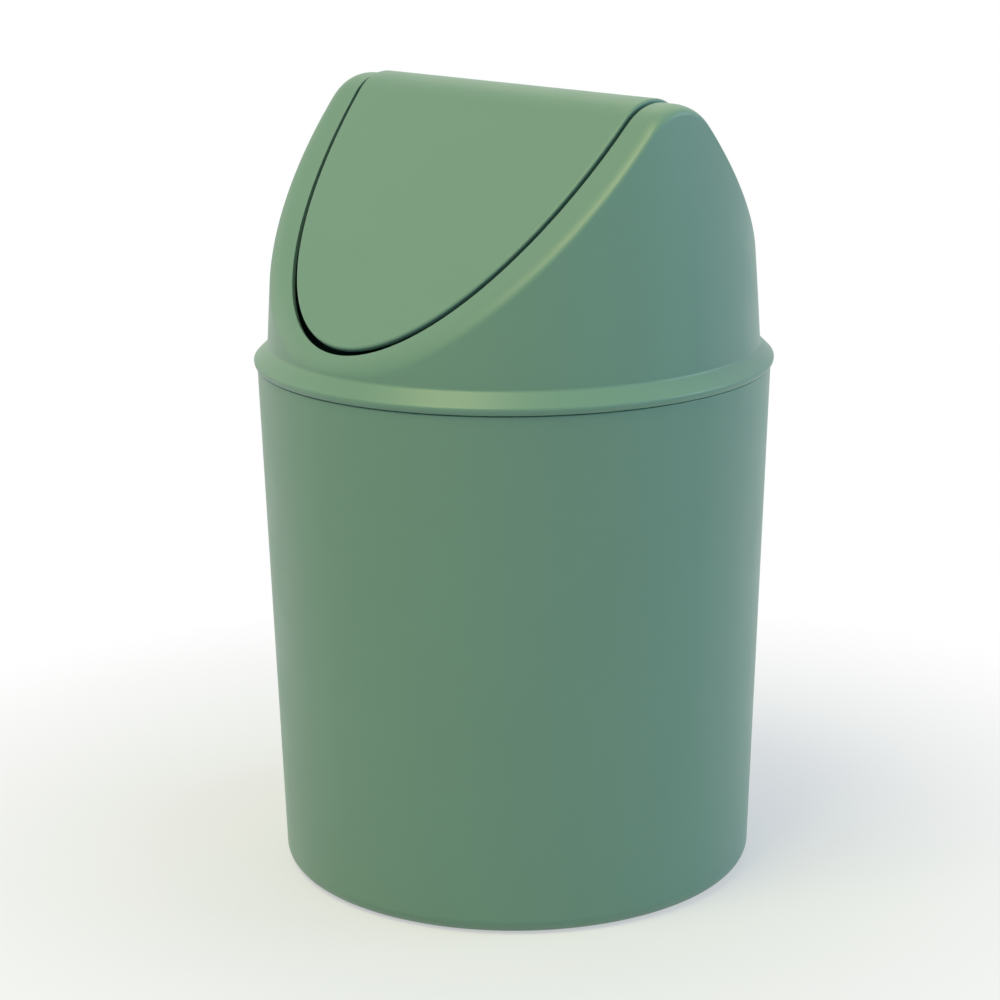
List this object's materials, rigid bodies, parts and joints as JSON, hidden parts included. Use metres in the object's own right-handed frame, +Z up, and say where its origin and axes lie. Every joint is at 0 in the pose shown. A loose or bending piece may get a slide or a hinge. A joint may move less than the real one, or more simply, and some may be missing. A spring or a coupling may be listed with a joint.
{
  "type": "countertop trash can",
  "caption": "Tapered round countertop trash can with a lift-off gabled hood and a balanced saddle-shaped swing flap.",
  "frame": {"origin": "centre of the flat ring that the bucket stands on", "axes": "+Z up along the bucket's axis, -Y towards the front of the hood, X along the flap's pivot"},
  "size_m": [0.1762, 0.1762, 0.2693],
  "materials": {
    "bucket_plastic": "fine satin moulded texture",
    "hood_plastic": "fine satin moulded texture",
    "flap_plastic": "fine satin moulded texture"
  },
  "bodies": {
    "bucket": {"bucket": "bucket_plastic"},
    "hood": {"lid_hood": "hood_plastic"},
    "flap": {"swing_flap": "flap_plastic"}
  },
  "joints": [
    {"name": "lid_lift", "type": "slide", "parent": "bucket", "child": "hood", "axis": [0, 0, 1], "range_m": [0, 0.12]},
    {"name": "flap_swing", "type": "hinge", "parent": "hood", "child": "flap", "pos_m": [0, 0, 0.25453], "axis": [1, 0, 0], "range_deg": [-75, 75]}
  ]
}
